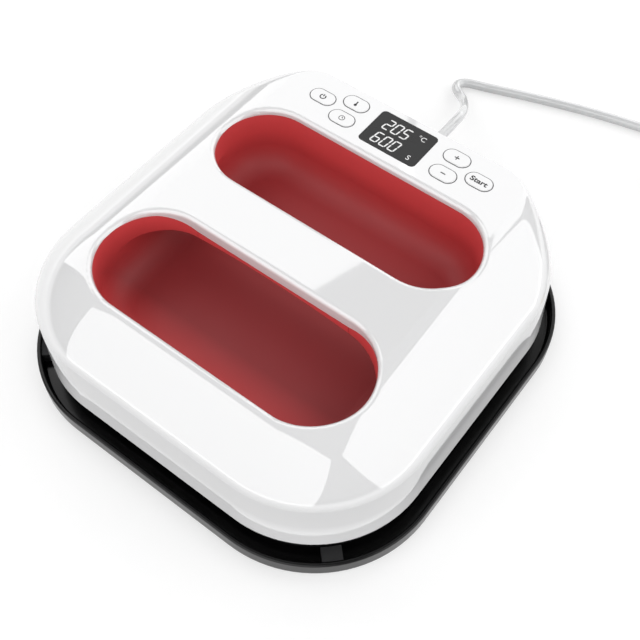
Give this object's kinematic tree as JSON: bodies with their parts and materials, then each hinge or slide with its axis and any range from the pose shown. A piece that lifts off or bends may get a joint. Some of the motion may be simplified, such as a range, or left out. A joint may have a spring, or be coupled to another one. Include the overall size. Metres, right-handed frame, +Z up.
{
  "type": "flat heat press",
  "caption": "Flat craft heat press: rounded white shell with a red recessed bridge grip, display and keys, heated sole plate, black safety tray, mains cord and plug.",
  "frame": {"origin": "on the table under the centre of the safety tray", "axes": "+Z up, +X to the right of someone who reads the display, +Y away from the reader, towards the back wall where the cord leaves"},
  "size_m": [0.3952, 0.4626, 0.0931],
  "materials": {
    "tray_black": "fine satin, near black",
    "tray_mat_felt": "heat-resistant felt",
    "black_rubber": "matt",
    "shell_white": "glossy white",
    "grip_red": "satin red",
    "housing_black": "satin, heat-resistant",
    "plate_metal": "coated smooth sole",
    "element_steel": "dull",
    "white_ceramic": "unglazed",
    "white_fibre": "ceramic fibre",
    "shield_steel": "galvanised",
    "screw_steel": "zinc plated",
    "cutout_brown": "phenolic",
    "sensor_steel": "smooth",
    "lead_white": "glass-fibre sleeve",
    "display_dark": "smoked, glossy",
    "display_panel": "dark display",
    "key_white": "glossy white with grey signs",
    "switch_black": "plain",
    "board_green": "circuit board",
    "transformer_yellow": "taped",
    "sink_metal": "extruded",
    "capacitor_black": "sleeved",
    "fuse_glass": "clear",
    "ribbon_grey": "flat cable",
    "cord_grey": "glossy light grey sheath",
    "tie_black": "strap",
    "pin_brass": "polished"
  },
  "bodies": {
    "base": {"safety_tray": "tray_black", "tray_mat": "tray_mat_felt", "corner_locators": "black_rubber", "rubber_feet": "black_rubber", "mains_cord": "cord_grey", "cord_coil": "cord_grey", "cord_tail": "cord_grey", "cord_tie": "tie_black", "plug_body": "cord_grey", "plug_pins": "pin_brass"},
    "press": {"top_shell": "shell_white", "grip_liner": "grip_red", "grip_underside": "grip_red", "lower_housing": "housing_black", "cord_clamp": "housing_black", "board_spacers": "housing_black", "heating_plate": "plate_metal", "heating_element": "element_steel", "element_terminals": "white_ceramic", "insulation_mat": "white_fibre", "heat_shield": "shield_steel", "sensor_clip": "shield_steel", "plate_standoffs": "shield_steel", "plate_screws": "screw_steel", "shield_screws": "screw_steel", "housing_screws": "screw_steel", "board_screws": "screw_steel", "clamp_screws": "screw_steel", "thermal_cutout": "cutout_brown", "temperature_sensor": "sensor_steel", "sensor_leads": "lead_white", "heater_leads": "lead_white", "display_window": "display_dark", "display_module": "display_panel", "tact_switches": "switch_black", "relay": "switch_black", "buzzer": "switch_black", "control_board": "board_green", "power_board": "board_green", "terminal_block": "board_green", "transformer": "transformer_yellow", "heat_sink": "sink_metal", "capacitors": "capacitor_black", "fuse": "fuse_glass", "ribbon_cable": "ribbon_grey", "inner_lead": "cord_grey", "strain_relief": "cord_grey"},
    "power_key": {"power_button": "key_white", "power_plunger": "switch_black"},
    "temperature_key": {"temperature_button": "key_white", "temperature_plunger": "switch_black"},
    "timer_key": {"timer_button": "key_white", "timer_plunger": "switch_black"},
    "plus_key": {"plus_button": "key_white", "plus_plunger": "switch_black"},
    "minus_key": {"minus_button": "key_white", "minus_plunger": "switch_black"},
    "start_key": {"start_button": "key_white", "start_plunger": "switch_black"}
  },
  "joints": [
    {"name": "press_lift", "type": "slide", "parent": "base", "child": "press", "axis": [0, 0, 1], "range_m": [0, 0.06]},
    {"name": "power_press", "type": "slide", "parent": "press", "child": "power_key", "axis": [0, 0, -1], "range_m": [0, 0.0006], "stiffness_N_per_m": 400, "springref_m": -0.001},
    {"name": "temperature_press", "type": "slide", "parent": "press", "child": "temperature_key", "axis": [0, 0, -1], "range_m": [0, 0.0006], "stiffness_N_per_m": 400, "springref_m": -0.001},
    {"name": "timer_press", "type": "slide", "parent": "press", "child": "timer_key", "axis": [0, 0, -1], "range_m": [0, 0.0006], "stiffness_N_per_m": 400, "springref_m": -0.001},
    {"name": "plus_press", "type": "slide", "parent": "press", "child": "plus_key", "axis": [0, 0, -1], "range_m": [0, 0.0006], "stiffness_N_per_m": 400, "springref_m": -0.001},
    {"name": "minus_press", "type": "slide", "parent": "press", "child": "minus_key", "axis": [0, 0, -1], "range_m": [0, 0.0006], "stiffness_N_per_m": 400, "springref_m": -0.001},
    {"name": "start_press", "type": "slide", "parent": "press", "child": "start_key", "axis": [0, 0, -1], "range_m": [0, 0.0006], "stiffness_N_per_m": 400, "springref_m": -0.001}
  ]
}
